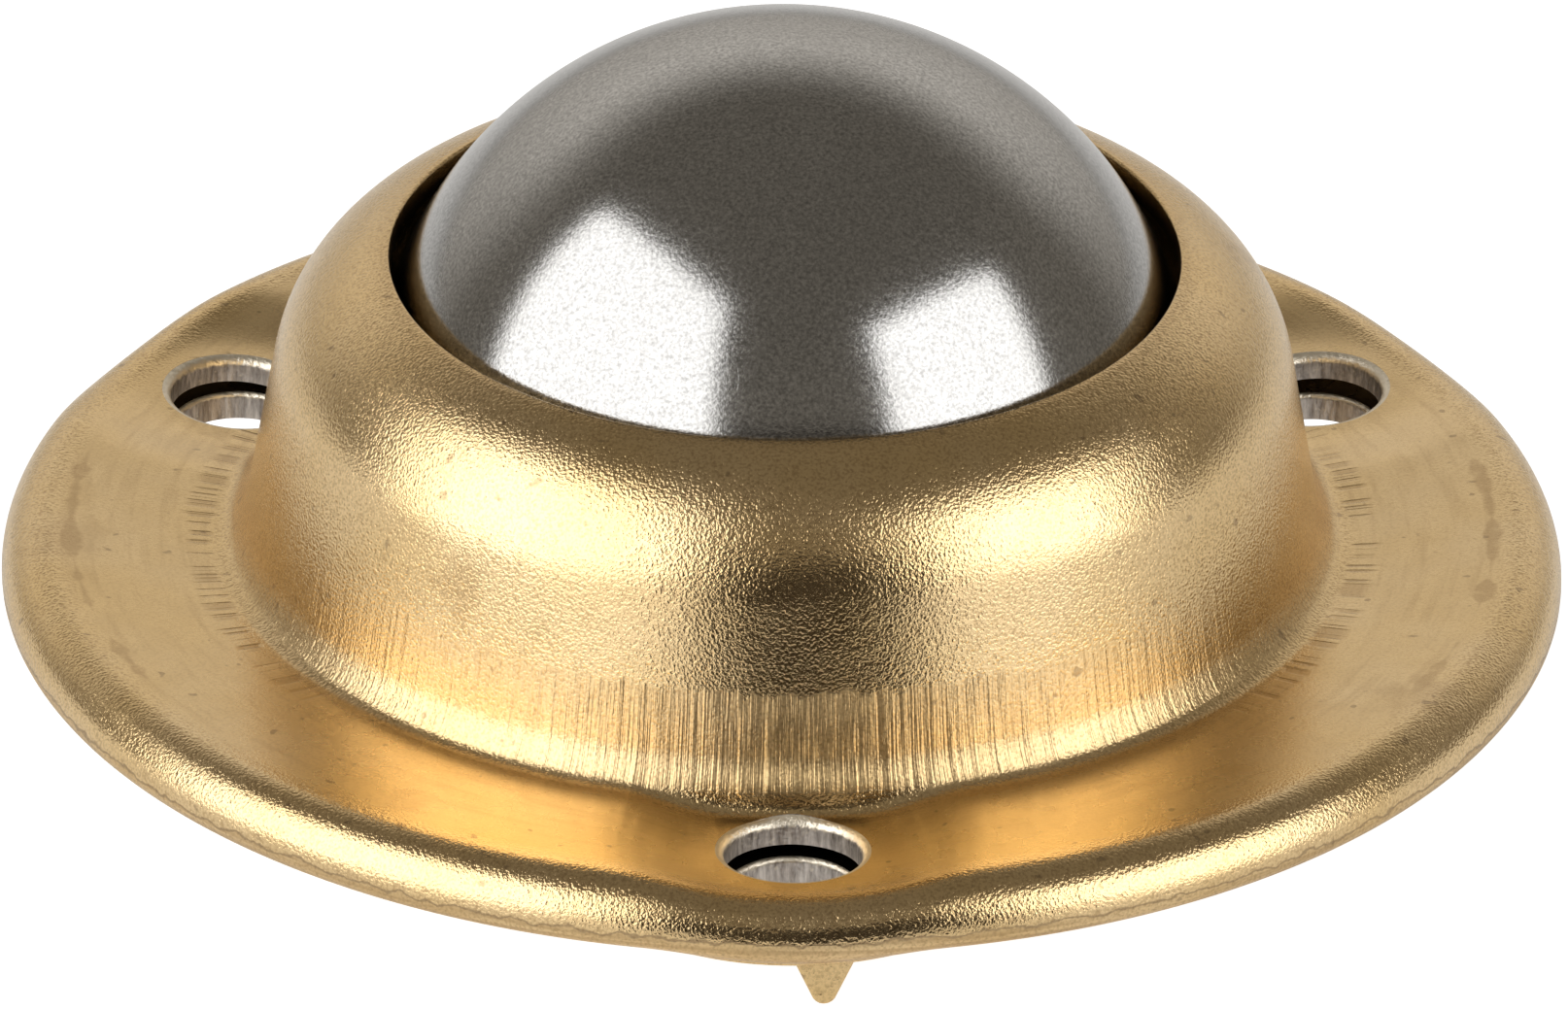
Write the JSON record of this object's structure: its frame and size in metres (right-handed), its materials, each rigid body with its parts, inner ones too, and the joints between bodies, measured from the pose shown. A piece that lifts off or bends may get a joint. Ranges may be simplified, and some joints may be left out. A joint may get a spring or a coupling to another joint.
{
  "type": "ball transfer unit",
  "caption": "Round flanged ball transfer unit: a steel load ball in a pressed, brass-coloured steel housing with screw holes, rolling on a nest of small bearing balls.",
  "frame": {"origin": "centre of the circle through the screw holes, on the underside of the base plate, which is the mounting face", "axes": "+Z out of the mounting face, through the centre of the load ball; -Y towards one of the screw holes"},
  "size_m": [0.072, 0.072, 0.0439],
  "materials": {
    "plated_sheet": "pressed steel with a satin brass-coloured plating",
    "hardened_race": "hardened and ground",
    "load_ball_steel": "satin, finely scratched",
    "bearing_ball_steel": "polished"
  },
  "bodies": {
    "housing": {"housing_shell": "plated_sheet", "base_plate": "plated_sheet", "race_cup": "hardened_race"},
    "bearing_nest": {"bearing_balls_row_0": "bearing_ball_steel", "bearing_balls_row_1": "bearing_ball_steel", "bearing_balls_row_2": "bearing_ball_steel", "bearing_balls_row_3": "bearing_ball_steel", "bearing_balls_row_4": "bearing_ball_steel", "bearing_balls_row_5": "bearing_ball_steel", "bearing_balls_row_6": "bearing_ball_steel", "bearing_balls_row_7": "bearing_ball_steel", "bearing_balls_row_8": "bearing_ball_steel", "bearing_balls_row_9": "bearing_ball_steel"},
    "ball": {"load_ball": "load_ball_steel"}
  },
  "joints": [
    {"name": "nest_turn", "type": "hinge", "parent": "housing", "child": "bearing_nest", "pos_m": [0, 0, 0.0089], "axis": [0, 0, 1], "continuous": true},
    {"name": "ball_roll", "type": "hinge", "parent": "bearing_nest", "child": "ball", "pos_m": [0, 0, 0.0089], "axis": [1, 0, 0], "continuous": true}
  ]
}
